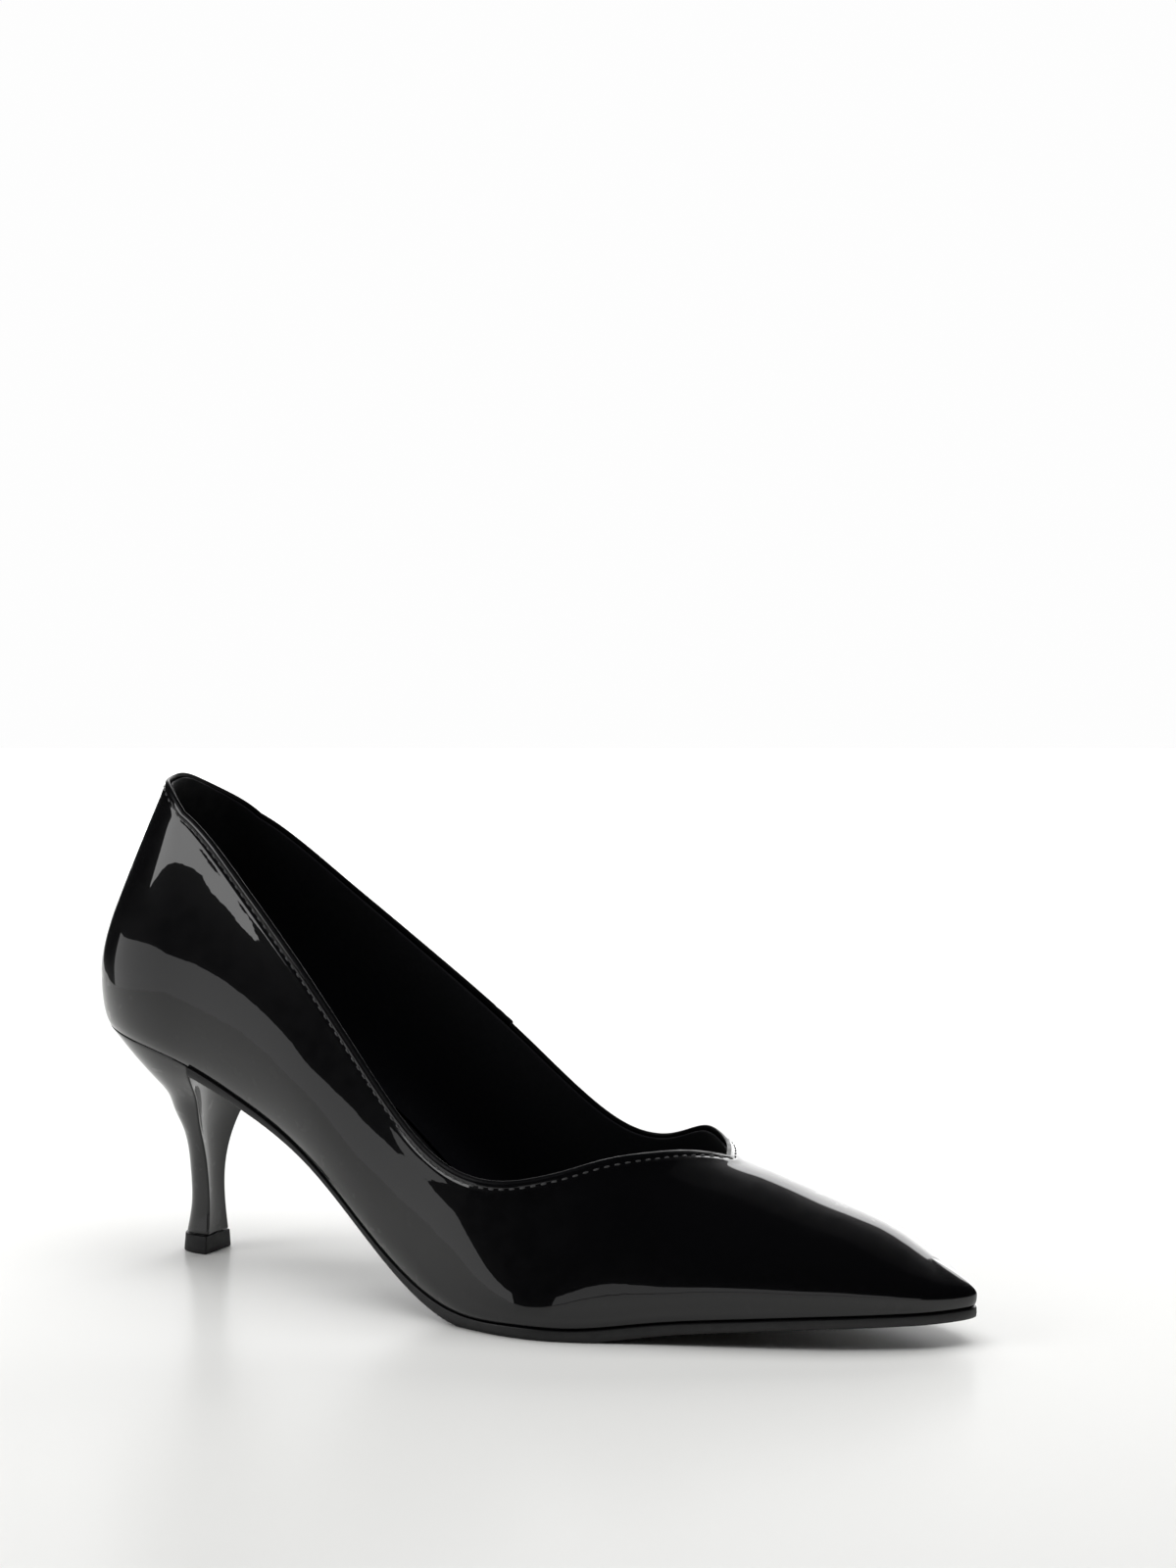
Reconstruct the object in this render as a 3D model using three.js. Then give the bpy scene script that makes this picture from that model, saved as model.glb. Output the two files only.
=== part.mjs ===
import * as THREE from 'three';

// Kitten heel pump for the right foot, in millimetres.
// While it is built: X runs from the back of the heel to the toe, +Y is the inner side, Z = 0 is the floor.

const LENGTH = 246;        // back of the heel to the toe tip
const BALL_WIDTH = 78;     // across the upper at the ball
const SEAT_HEIGHT = 62.6;  // floor to the lower edge of the upper at the back
const WALL = 2;            // leather and lining together
const FIT_GAP = 0.3;       // between neighbouring pieces

const HEEL_CENTRE = 0.134 * LENGTH;  // the sections fan round the heel from here back
const TOE_CENTRE = 0.951 * LENGTH;   // and round the toe from here forward
const THROAT = 0.73 * LENGTH;        // bottom of the V notch
const ROUNDNESS = 2.5;               // power of the fans, 2 is an ellipse
const COLLAR_ROUNDNESS = 2;          // the same for the heel fan at the topline
const COLLAR_DRAW = 0.208;           // and how much the collar is drawn in there, share of the half width

const BACK_WIDEST = 11.4;  // back profile: height of the roundest point above the lower edge
const BACK_HEIGHT = 67.7;  // lower edge to the topline
const BACK_LEAN = 19.5;    // how far the topline stands forward of the roundest point
const BACK_BEND = 0.183;   // share of the profile in which the lean sets in
const BACK_TUCK = 0.8;     // lower edge forward of the roundest point
const TIP_WIDEST = 2.8;    // toe profile: height of the foremost point above the lower edge
const TIP_TUCK = 0.8;      // lower edge behind the foremost point
const TIP_RISE = 0.5;      // how long that profile stays upright
const TIP_CROWN = 0.5;     // and how far forward it keeps the slope of the ridge, share of the fan

const SEAM_AT = 0.386 * LENGTH;  // inner side seam, halfway up
const SEAM_LEAN = 26;            // its top stands this much further forward than its foot
const SEAM_REACH = 45;           // how far fore and aft the mesh follows that lean
const LAP = 0.7;                 // the quarter laps over the vamp by this much
const LAP_FADE = 38;             // and thins out over this length towards the heel

const INSOLE_THICKNESS = 2.4;
const INSOLE_END = TOE_CENTRE;   // front end of the insole
const INSOLE_PLAY = 0.45;        // between its edge and the wall
const SOLE_LIP = 0.7;            // the outsole stands out past the upper
const BREAST = 0.1484 * LENGTH;  // front of the heel at the seat
const TOP_PIECE_HEIGHT = 4.7;

// Lower edge of the upper: place as a share of LENGTH, height as a share of SEAT_HEIGHT.
const LOWER_EDGE = [
  { at: 0, rise: 1 }, { at: 0.073, rise: 0.9487 }, { at: 0.134, rise: 0.8877 },
  { at: 0.203, rise: 0.777 }, { at: 0.305, rise: 0.5552 }, { at: 0.407, rise: 0.2342 },
  { at: 0.508, rise: 0.0578 }, { at: 0.59, rise: 0.0487 }, { at: 0.65, rise: 0.0497 },
  { at: 0.724, rise: 0.0829 }, { at: 0.813, rise: 0.1118 }, { at: 0.894, rise: 0.1319 },
  { at: 0.959, rise: 0.1404 }, { at: 1, rise: 0.1471 },
];

// Cross sections of the upper at shares of LENGTH. outer and inner: half widths, tuckOuter and tuckInner:
// how far the lower edge lies in from them, as shares of BALL_WIDTH.
const WIDTHS = [
  { at: 0.134, outer: 0.352, inner: 0.3466, tuckOuter: 0.051, tuckInner: 0.051 },
  { at: 0.224, outer: 0.373, inner: 0.3636, tuckOuter: 0.058, tuckInner: 0.064 },
  { at: 0.325, outer: 0.4185, inner: 0.3584, tuckOuter: 0.066, tuckInner: 0.096 },
  { at: 0.427, outer: 0.4755, inner: 0.3474, tuckOuter: 0.05, tuckInner: 0.095 },
  { at: 0.528, outer: 0.5531, inner: 0.368, tuckOuter: 0.03, tuckInner: 0.058 },
  { at: 0.618, outer: 0.5625, inner: 0.424, tuckOuter: 0.018, tuckInner: 0.03 },
  { at: 0.691, outer: 0.4772, inner: 0.432, tuckOuter: 0.016, tuckInner: 0.022 },
  { at: 0.764, outer: 0.3937, inner: 0.402, tuckOuter: 0.016, tuckInner: 0.018 },
  { at: 0.837, outer: 0.306, inner: 0.362, tuckOuter: 0.015, tuckInner: 0.016 },
  { at: 0.911, outer: 0.199, inner: 0.281, tuckOuter: 0.013, tuckInner: 0.015 },
  { at: 0.959, outer: 0.101, inner: 0.203, tuckOuter: 0.013, tuckInner: 0.013 },
  { at: 1, outer: 0.011, inner: 0.135, tuckOuter: 0.01, tuckInner: 0.01 },
];
// widest: height of the widest line above the lower edge, ridge: height of the ridge above the floor, as
// shares of SEAT_HEIGHT; ridgeY: the ridge off the middle, as a share of BALL_WIDTH; rise and crown: how long
// the curve stays upright at the side and level at the ridge.
const HEIGHTS = [
  { at: 0.134, widest: 0.3195, ridge: 2.3785, ridgeY: 0, rise: 0.308, crown: 0.346 },
  { at: 0.224, widest: 0.3369, ridge: 2.1036, ridgeY: 0, rise: 0.397, crown: 0.337 },
  { at: 0.325, widest: 0.2755, ridge: 1.8228, ridgeY: 0, rise: 0.4469, crown: 0.3688 },
  { at: 0.427, widest: 0.1944, ridge: 1.6137, ridgeY: 0, rise: 0.4669, crown: 0.4094 },
  { at: 0.528, widest: 0.05, ridge: 1.3533, ridgeY: 0.006, rise: 0.4346, crown: 0.4849 },
  { at: 0.618, widest: 0.05, ridge: 1.1665, ridgeY: 0.015, rise: 0.2206, crown: 0.451 },
  { at: 0.691, widest: 0.05, ridge: 0.7619, ridgeY: 0.026, rise: 0.5526, crown: 0.5848 },
  { at: 0.764, widest: 0.0879, ridge: 0.6099, ridgeY: 0.038, rise: 0.52, crown: 0.52 },
  { at: 0.837, widest: 0.0842, ridge: 0.5169, ridgeY: 0.051, rise: 0.52, crown: 0.52 },
  { at: 0.911, widest: 0.0707, ridge: 0.4124, ridgeY: 0.064, rise: 0.52, crown: 0.52 },
  { at: 0.959, widest: 0.0561, ridge: 0.3069, ridgeY: 0.071, rise: 0.52, crown: 0.52 },
  { at: 1, widest: 0.0416, ridge: 0.2459, ridgeY: 0.077, rise: 0.52, crown: 0.52 },
];

// Topline. turn: -1 is the back, 0 the heel centre, 1 the throat; outer and inner: share of the way up
// the section from its widest line (0) to its ridge (1).
const TOPLINE = [
  { turn: -1, outer: 0.6425, inner: 0.6425 }, { turn: -0.667, outer: 0.613, inner: 0.6015 },
  { turn: -0.333, outer: 0.558, inner: 0.5041 }, { turn: 0, outer: 0.4869, inner: 0.4357 },
  { turn: 0.189, outer: 0.3792, inner: 0.3885 }, { turn: 0.398, outer: 0.2846, inner: 0.406 },
  { turn: 0.552, outer: 0.2493, inner: 0.3992 }, { turn: 0.678, outer: 0.3093, inner: 0.3831 },
  { turn: 0.783, outer: 0.4176, inner: 0.4172 }, { turn: 0.867, outer: 0.5248, inner: 0.5127 },
  { turn: 0.93, outer: 0.7115, inner: 0.6768 }, { turn: 0.972, outer: 0.9086, inner: 0.8319 },
  { turn: 1, outer: 1, inner: 1 },
];

// Outsole thickness in millimetres at shares of LENGTH; under the ball the tread is cut flat by the floor.
const SOLE = [
  { at: 0.15, thick: 2.4 }, { at: 0.25, thick: 1.9 }, { at: 0.4, thick: 1.9 }, { at: 0.5, thick: 3 },
  { at: 0.66, thick: 3.1 }, { at: 0.76, thick: 2.7 }, { at: 1, thick: 2.5 },
];

// Heel, from below the seat down. height: at the breast, from 0 at the top piece to 1 at SEAT_HEIGHT; slope:
// share of the slope of the seat; back and breast: places from the back of the shoe, shares of LENGTH; half:
// half width and scoop: hollow of the breast, shares of BALL_WIDTH.
const HEEL = [
  { height: 0.7761, slope: 0.72, back: 0.0331, breast: 0.1444, half: 0.2615, scoop: 0.031 },
  { height: 0.7124, slope: 0.4, back: 0.0586, breast: 0.1404, half: 0.2185, scoop: 0.044 },
  { height: 0.6516, slope: 0.28, back: 0.0743, breast: 0.136, half: 0.1805, scoop: 0.038 },
  { height: 0.5869, slope: 0.18, back: 0.0793, breast: 0.1313, half: 0.1507, scoop: 0.029 },
  { height: 0.5077, slope: 0.08, back: 0.0866, breast: 0.1266, half: 0.1165, scoop: 0.022 },
  { height: 0.4073, slope: 0, back: 0.0906, breast: 0.1235, half: 0.0802, scoop: 0.014 },
  { height: 0.2819, slope: 0, back: 0.0916, breast: 0.1222, half: 0.0563, scoop: 0.009 },
  { height: 0.1293, slope: 0, back: 0.0919, breast: 0.1229, half: 0.0532, scoop: 0.006 },
  { height: 0, slope: 0, back: 0.0865, breast: 0.1237, half: 0.0648, scoop: 0.005 },
];
const TOP_PIECE = [
  { height: 1, back: 0.0853, breast: 0.123, half: 0.0728 },
  { height: 0, back: 0.0837, breast: 0.1231, half: 0.0788 },
];

const QUARTER = Math.PI / 2;
const OUTER = -1, INNER = 1;
const mix = (a, b, t) => a + (b - a) * t;
const clamp01 = (t) => Math.min(1, Math.max(0, t));

// Cubic spline through (xs, ys): level at its start if asked, free at its end.
function spline(xs, ys, levelStart = false) {
  const n = xs.length, lower = [], main = [], upper = [], right = [];
  const step = (i) => xs[i + 1] - xs[i], slope = (i) => (ys[i + 1] - ys[i]) / step(i);
  for (let i = 0; i < n; i++) {
    let row = [0, 1, 0, 0];
    if (i === 0 && levelStart) row = [0, 2 * step(0), step(0), 6 * slope(0)];
    else if (i > 0 && i < n - 1) {
      row = [step(i - 1), 2 * (step(i - 1) + step(i)), step(i), 6 * (slope(i) - slope(i - 1))];
    }
    [lower, main, upper, right].forEach((list, k) => list.push(row[k]));
  }
  for (let i = 1; i < n; i++) {
    const k = lower[i] / main[i - 1];
    main[i] -= k * upper[i - 1];
    right[i] -= k * right[i - 1];
  }
  const bend = new Array(n).fill(0);
  for (let i = n - 1; i >= 0; i--) bend[i] = (right[i] - (i < n - 1 ? upper[i] * bend[i + 1] : 0)) / main[i];
  return (x) => {
    let i = 0;
    while (i < n - 2 && x > xs[i + 1]) i++;
    const h = step(i), a = (xs[i + 1] - x) / h, b = (x - xs[i]) / h;
    return a * ys[i] + b * ys[i + 1] + ((a ** 3 - a) * bend[i] + (b ** 3 - b) * bend[i + 1]) * h * h / 6;
  };
}
const column = (table, place, key, unit, levelStart) => (
  spline(table.map(place), table.map((row) => row[key] * unit), levelStart));
const along = (row) => row.at * LENGTH;

const lowerEdge = column(LOWER_EDGE, along, 'rise', SEAT_HEIGHT);
const soleThickness = column(SOLE, along, 'thick', 1);
const profile = {};
const addColumns = (table, keys, unit) => {
  for (const key of keys) profile[key] = column(table, along, key, unit, true);
};
addColumns(WIDTHS, ['outer', 'inner', 'tuckOuter', 'tuckInner'], BALL_WIDTH);
addColumns(HEIGHTS, ['widest', 'ridge'], SEAT_HEIGHT);
addColumns(HEIGHTS, ['ridgeY'], BALL_WIDTH);
addColumns(HEIGHTS, ['rise', 'crown'], 1);

// A station is a distance along the outline: negative round the heel, then straight, then round the toe.
const HEEL_TURN = HEEL_CENTRE * QUARTER, TOE_TURN = (LENGTH - TOE_CENTRE) * QUARTER;
const STRAIGHT = TOE_CENTRE - HEEL_CENTRE, THROAT_STATION = THROAT - HEEL_CENTRE;
const turnPlace = (row) => row.turn * (row.turn < 0 ? HEEL_TURN : THROAT_STATION);
const topline = {
  [OUTER]: column(TOPLINE, turnPlace, 'outer', 1, true),
  [INNER]: column(TOPLINE, turnPlace, 'inner', 1, true),
};
const topShare = (station, side) => (station >= THROAT_STATION ? 1 : Math.min(1, topline[side](station)));

function bezier(t, p0, p1, p2, p3) {
  const s = 1 - t;
  return s * s * s * p0 + 3 * s * s * t * p1 + 3 * s * t * t * p2 + t * t * t * p3;
}

// The curve below the widest line: [how far in, height above the lower edge]. It is upright, then turns in.
const UNDER_IN = 0.35, UNDER_STAY = 0.5, UNDER_LAND = 0.16;
const under = (share, tuck, widest) => [
  bezier(-share, 0, 0, UNDER_IN * tuck, tuck),
  bezier(-share, widest, UNDER_STAY * widest, UNDER_LAND * widest, 0),
];

// Section at x: [y, height above the lower edge]. share runs from -1 at the lower edge over 0 at the widest
// line to 1 at the ridge.
function section(x, side, share) {
  const w = side === OUTER ? -profile.outer(x) : profile.inner(x);
  const tuck = side * (side === OUTER ? profile.tuckOuter(x) : profile.tuckInner(x));
  const h = profile.widest(x), y = profile.ridgeY(x), top = profile.ridge(x) - lowerEdge(x);
  if (share < 0) {
    const [inset, height] = under(share, tuck, h);
    return [w - inset, height];
  }
  const crown = mix(w, y, 1 - profile.crown(x));
  return [bezier(share, w, w, crown, y), bezier(share, h, mix(h, top, profile.rise(x)), top, top)];
}

// Profiles in the middle of the back and of the toe: [distance in from the end, height above the lower edge].
const BACK_TOP = TOPLINE[0].outer;
function backProfile(share) {
  if (share < 0) return under(share, BACK_TUCK, BACK_WIDEST);
  const s = share / BACK_TOP, lean = (v) => Math.sqrt(BACK_BEND ** 2 + v * v) - BACK_BEND;
  return [BACK_LEAN * lean(s) / lean(1), mix(BACK_WIDEST, BACK_HEIGHT, s)];
}
function toeProfile(share) {
  if (share < 0) return under(share, TIP_TUCK, TIP_WIDEST);
  const reach = LENGTH - TOE_CENTRE, height = (x) => profile.ridge(x) - lowerEdge(x);
  const top = height(TOE_CENTRE);
  const handle = TIP_CROWN * reach, shoulder = top + (top - height(TOE_CENTRE - 1)) * handle;
  return [bezier(share, 0, 0, reach - handle, reach),
    bezier(share, TIP_WIDEST, mix(TIP_WIDEST, shoulder, TIP_RISE), shoulder, top)];
}

// Point on the outside of the upper.
function skin(station, side, share) {
  if (station >= 0 && station <= STRAIGHT) {
    const x = HEEL_CENTRE + station, [y, h] = section(x, side, share);
    return [x, y, lowerEdge(x) + h];
  }
  if (station < 0) {
    const s = Math.sin(Math.min(1, -station / HEEL_TURN) * QUARTER), [inset, hBack] = backProfile(share);
    const x = HEEL_CENTRE - (HEEL_CENTRE - inset) * s, [y, h] = section(HEEL_CENTRE, side, share);
    return [x, y * heelRoundOff(s, share), lowerEdge(x) + mix(h, hBack, s * s)];
  }
  const s = Math.sin(Math.min(1, (station - STRAIGHT) / TOE_TURN) * QUARTER);
  const [inset, hTip] = toeProfile(share);
  const x = TOE_CENTRE + (LENGTH - TOE_CENTRE - inset) * s, middle = profile.ridgeY(x);
  const [y, h] = section(x, side, share);
  return [x, middle + (y - middle) * roundOff(s), lowerEdge(x) + mix(h, hTip, s * s)];
}
const roundOff = (s, power = ROUNDNESS) => Math.sqrt(Math.max(0, 1 - s ** power));
function heelRoundOff(s, share) {
  const up = clamp01(share / BACK_TOP) ** 1.5;
  return roundOff(s, mix(ROUNDNESS, COLLAR_ROUNDNESS, up)) * (1 - COLLAR_DRAW * up * s * s);
}

// Outward normal of that surface.
function normal(station, side, share) {
  const first = -HEEL_TURN, last = STRAIGHT + TOE_TURN, d = 0.02, e = 0.002;
  const ends = station <= first + d || station >= last - d;
  if (share > 1 - e) { side = INNER; station = Math.min(station, STRAIGHT); }
  if (ends) side = INNER;
  const s0 = Math.max(first, station - d), s1 = Math.min(last, station + d);
  const u0 = Math.max(-1, share - e), u1 = Math.min(1, share + e);
  const a = new THREE.Vector3(...skin(s1, side, share)).sub(new THREE.Vector3(...skin(s0, side, share)));
  const b = new THREE.Vector3(...skin(station, side, u1)).sub(new THREE.Vector3(...skin(station, side, u0)));
  const n = a.cross(b);
  if (side === INNER) n.negate();
  if (ends) n.y = 0;
  return n.normalize();
}
// Outward direction in plan, square to a line of equal share.
function outward(station, side, share) {
  const first = -HEEL_TURN, last = STRAIGHT + TOE_TURN, d = 0.02;
  if (station <= first + d) return [-1, 0];
  if (station >= last - d) return [1, 0];
  const [x0, y0] = skin(station - d, side, share), [x1, y1] = skin(station + d, side, share);
  const length = Math.hypot(x1 - x0, y1 - y0);
  return [-side * (y1 - y0) / length, side * (x1 - x0) / length];
}
// Moves a skin point inward: square to the surface, or along the sheet of the lower edge so that the wall
// comes out just as thick.
function offset(station, side, share, depth) {
  const p = skin(station, side, share), n = normal(station, side, share);
  return [p[0] - n.x * depth, p[1] - n.y * depth, p[2] - n.z * depth];
}
function offsetAlong(station, side, share, depth) {
  const p = skin(station, side, share), n = normal(station, side, share);
  const [mx, my] = outward(station, side, share);
  const slope = (lowerEdge(p[0] + 0.1) - lowerEdge(p[0] - 0.1)) / 0.2;
  const reach = depth / Math.max(0.5, n.x * mx + n.y * my + n.z * slope * mx), x = p[0] - mx * reach;
  return [x, p[1] - my * reach, p[2] + lowerEdge(x) - lowerEdge(p[0])];
}
// Point a given depth behind the skin and a given height above the lower edge.
function inside(station, side, height, depth) {
  if (height === 0) return offsetAlong(station, side, -1, depth);
  let low = -1, high = 0;
  for (let i = 0; i < 30; i++) {
    const share = (low + high) / 2, p = offset(station, side, share, depth);
    if (p[2] - lowerEdge(p[0]) < height) low = share; else high = share;
  }
  return offset(station, side, low, depth);
}

// Mesh building: triangles are kept as points, welded at the end and turned to face outward.
const quad = (triangles, a, b, c, d) => triangles.push([a, b, c], [a, c, d]);
function solid(name, triangles, material) {
  const places = new Map(), position = [], index = [];
  const vertex = (p) => {
    const key = p.map((v) => Math.round(v * 1000)).join();
    if (!places.has(key)) { places.set(key, position.length / 3); position.push(...p); }
    return places.get(key);
  };
  let volume = 0;
  for (const [a, b, c] of triangles) {
    const t = [vertex(a), vertex(b), vertex(c)];
    if (t[0] === t[1] || t[1] === t[2] || t[2] === t[0]) continue;
    index.push(...t);
    volume += new THREE.Vector3(...a).dot(new THREE.Vector3(...b).cross(new THREE.Vector3(...c)));
  }
  if (volume < 0) index.reverse();
  const geometry = new THREE.BufferGeometry();
  geometry.setAttribute('position', new THREE.Float32BufferAttribute(position, 3));
  geometry.setIndex(index);
  geometry.computeVertexNormals();
  const mesh = new THREE.Mesh(geometry, material);
  mesh.name = name;
  return mesh;
}

// Solid between stacked levels; each level is a grid of points, rows along the shoe and columns across it.
function stack(levels) {
  const triangles = [], top = levels[0], bottom = levels[levels.length - 1];
  const rows = top.length, cols = top[0].length;
  for (let i = 0; i < rows - 1; i++) {
    for (let j = 0; j < cols - 1; j++) {
      quad(triangles, top[i][j], top[i][j + 1], top[i + 1][j + 1], top[i + 1][j]);
      quad(triangles, bottom[i][j], bottom[i + 1][j], bottom[i + 1][j + 1], bottom[i][j + 1]);
    }
  }
  const rim = [];
  for (let j = 0; j < cols; j++) rim.push([0, j]);
  for (let i = 1; i < rows; i++) rim.push([i, cols - 1]);
  for (let j = cols - 2; j >= 0; j--) rim.push([rows - 1, j]);
  for (let i = rows - 2; i > 0; i--) rim.push([i, 0]);
  for (let k = 0; k < levels.length - 1; k++) {
    rim.forEach(([i, j], r) => {
      const [m, n] = rim[(r + 1) % rim.length], a = levels[k], b = levels[k + 1];
      quad(triangles, a[i][j], b[i][j], b[m][n], a[m][n]);
    });
  }
  return triangles;
}

// Upper.
const spread = (from, to, count) => Array.from({ length: count + 1 }, (_, i) => mix(from, to, i / count));
const SEAM_STATION = SEAM_AT - HEEL_CENTRE, NOTCH_STEPS = [12, 8, 5, 2.5, 0];
const upperStations = [
  ...spread(-HEEL_TURN, 0, 8), ...spread(0, SEAM_STATION - LAP, 11).slice(1), SEAM_STATION,
  ...spread(SEAM_STATION, THROAT_STATION - NOTCH_STEPS[0], 16).slice(1),
  ...NOTCH_STEPS.slice(1).map((step) => THROAT_STATION - step),
  ...spread(THROAT_STATION, STRAIGHT, 8).slice(1), ...spread(STRAIGHT, STRAIGHT + TOE_TURN, 6).slice(1),
];
const UPPER_ROWS = 14;
function upperGrid(side) {
  return upperStations.map((base) => spread(0, 1, UPPER_ROWS).map((up) => {
    const follow = side === INNER ? Math.max(0, 1 - Math.abs(base - SEAM_STATION) / SEAM_REACH) : 0;
    const station = base + follow * SEAM_LEAN * (up - 0.5), share = mix(-1, topShare(station, side), up);
    const behind = SEAM_STATION - base;
    const lap = side === INNER && behind > LAP / 2 ? LAP * clamp01(1 - behind / LAP_FADE) : 0;
    const move = up === 0 ? offsetAlong : offset;
    return { out: move(station, side, share, -lap), inn: move(station, side, share, WALL) };
  }));
}
function buildUpper() {
  const triangles = [];
  for (const side of [OUTER, INNER]) {
    const grid = upperGrid(side);
    for (let i = 0; i < grid.length - 1; i++) {
      for (let j = 0; j < UPPER_ROWS; j++) {
        const cell = [grid[i][j], grid[i + 1][j], grid[i + 1][j + 1], grid[i][j + 1]];
        const out = cell.map((c) => c.out), inn = cell.map((c) => c.inn);
        if (side === INNER) { out.reverse(); } else { inn.reverse(); }
        quad(triangles, ...out);
        quad(triangles, ...inn);
      }
      const edges = upperStations[i] < THROAT_STATION - 0.01 ? [0, UPPER_ROWS] : [0];
      for (const j of edges) {
        const a = grid[i][j], b = grid[i + 1][j], strip = [a.out, a.inn, b.inn, b.out];
        if ((j === 0) !== (side === OUTER)) strip.reverse();
        quad(triangles, ...strip);
      }
    }
  }
  return triangles;
}

// Outline at the lower edge moved outward in plan.
function edgeOut(station, side, reach) {
  const p = skin(station, side, -1), [mx, my] = outward(station, side, -1);
  return [p[0] + mx * reach, p[1] + my * reach];
}

// Outsole: from the breast of the heel to the toe.
function buildOutsole() {
  const straight = spread(BREAST + FIT_GAP - HEEL_CENTRE, STRAIGHT, 50);
  const stations = [...straight, ...spread(STRAIGHT, STRAIGHT + TOE_TURN, 7).slice(1)];
  const level = (drop) => stations.map((station) => [OUTER, INNER].map((side) => {
    const [x, y] = edgeOut(station, side, SOLE_LIP);
    return [x, y, Math.max(0, lowerEdge(x) - FIT_GAP - drop * soleThickness(x))];
  }));
  return stack([level(0), level(1)]);
}

// Insole: fills the inside of the upper at its lower edge.
function buildInsole() {
  const stations = [...spread(-HEEL_TURN, 0, 8), ...spread(0, INSOLE_END - HEEL_CENTRE, 44).slice(1)];
  const level = (height) => stations.map((station) => [OUTER, INNER].map((side) => {
    const [x, y] = inside(station, side, height, WALL + INSOLE_PLAY);
    return [x, y, lowerEdge(x) + height];
  }));
  return stack([level(INSOLE_THICKNESS), level(0)]);
}

// Heel and top piece: the seat outline, scaled down level by level; rows run from the breast to the back.
const seatStations = [BREAST - HEEL_CENTRE, ...spread(0, -HEEL_TURN, 9)];
const seat = seatStations.map((station) => [OUTER, INNER].map((side) => skin(station, side, -1)));
const seatBack = seat[seat.length - 1][0][0], seatHalf = seat[0][1][1], ACROSS = 8;
const heelRow = (row, low, high) => ({
  height: mix(low, high, row.height), slope: row.slope, back: row.back * LENGTH, breast: row.breast * LENGTH,
  half: row.half * BALL_WIDTH, scoop: (row.scoop || 0) * BALL_WIDTH,
});
function heelLevel({ height, slope = 0, back, breast, half, scoop = 0 }) {
  return seat.map(([left, right]) => spread(0, 1, ACROSS).map((v) => {
    const away = (BREAST - left[0]) / (BREAST - seatBack), hollow = scoop * 4 * v * (1 - v) * (1 - away) ** 2;
    const x = mix(breast, back, away) - hollow;
    const y = mix(left[1], right[1], v) * half / seatHalf;
    return [x, y, height + slope * (lowerEdge(x) - lowerEdge(breast))];
  }));
}
function buildHeel() {
  const height = lowerEdge(BREAST) - FIT_GAP;
  const top = { height, slope: 1, back: seatBack, breast: BREAST, half: seatHalf };
  const rows = HEEL.map((row) => heelRow(row, TOP_PIECE_HEIGHT + FIT_GAP, SEAT_HEIGHT));
  return stack([top, ...rows].map(heelLevel));
}
function buildTopPiece() {
  return stack(TOP_PIECE.map((row) => heelLevel(heelRow(row, 0, TOP_PIECE_HEIGHT))));
}

const leather = (color, roughness) => new THREE.MeshStandardMaterial({ color, roughness, metalness: 0 });
const pump = new THREE.Group();
pump.name = 'kitten_heel_pump';
pump.add(
  solid('upper', buildUpper(), leather(0x0c0c0e, 0.08)),
  solid('outsole', buildOutsole(), leather(0x161616, 0.55)),
  solid('insole', buildInsole(), leather(0x14141a, 0.7)),
  solid('heel', buildHeel(), leather(0x0e0e10, 0.12)),
  solid('top_piece', buildTopPiece(), leather(0x101010, 0.6)),
);

// Put the middle of the footprint at the origin.
const box = new THREE.Box3().setFromObject(pump), middle = box.getCenter(new THREE.Vector3());
for (const mesh of pump.children) mesh.geometry.translate(-middle.x, -middle.y, -box.min.z);

export default pump;
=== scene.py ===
"""Kitten heel pump in black patent leather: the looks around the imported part, and the studio it stands in."""

import math

import bmesh
import bpy
import numpy as np
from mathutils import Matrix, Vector
from mathutils.kdtree import KDTree


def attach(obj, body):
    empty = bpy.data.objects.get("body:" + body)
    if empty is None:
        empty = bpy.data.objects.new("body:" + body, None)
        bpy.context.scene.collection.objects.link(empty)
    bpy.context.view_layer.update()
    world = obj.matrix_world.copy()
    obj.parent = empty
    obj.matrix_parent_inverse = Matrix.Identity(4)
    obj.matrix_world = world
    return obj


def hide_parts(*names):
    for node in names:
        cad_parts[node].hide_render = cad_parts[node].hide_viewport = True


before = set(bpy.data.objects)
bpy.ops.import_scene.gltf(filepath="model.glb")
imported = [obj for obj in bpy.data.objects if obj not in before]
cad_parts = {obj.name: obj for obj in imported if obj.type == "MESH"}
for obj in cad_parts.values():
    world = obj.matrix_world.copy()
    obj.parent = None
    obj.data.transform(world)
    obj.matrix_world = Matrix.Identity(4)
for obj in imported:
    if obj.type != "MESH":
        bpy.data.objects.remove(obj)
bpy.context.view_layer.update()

# Sizes in millimetres, measured while the shoe has its heel at X = 0 and its inner side at +Y.
LENGTH = 246.0
BALL_WIDTH = 78.0
SEAT_HEIGHT = 62.6
WALL = 2.0
HEEL_CENTRE = 0.134 * LENGTH
TOE_CENTRE = 0.951 * LENGTH
THROAT = 0.73 * LENGTH
ROUNDNESS, COLLAR_ROUNDNESS, COLLAR_DRAW = 2.5, 2.0, 0.208
BACK_WIDEST, BACK_HEIGHT, BACK_LEAN, BACK_BEND, BACK_TUCK = 11.4, 67.7, 19.5, 0.183, 0.8
TIP_WIDEST, TIP_TUCK, TIP_RISE, TIP_CROWN = 2.8, 0.8, 0.5, 0.5
SEAM_AT = 0.386 * LENGTH
SEAM_LEAN, SEAM_REACH, LAP, LAP_FADE = 26.0, 45.0, 0.7, 38.0
SOLE_LIP, SOLE_BELOW = 0.7, 0.16      # past the upper, and below its lower edge
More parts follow.
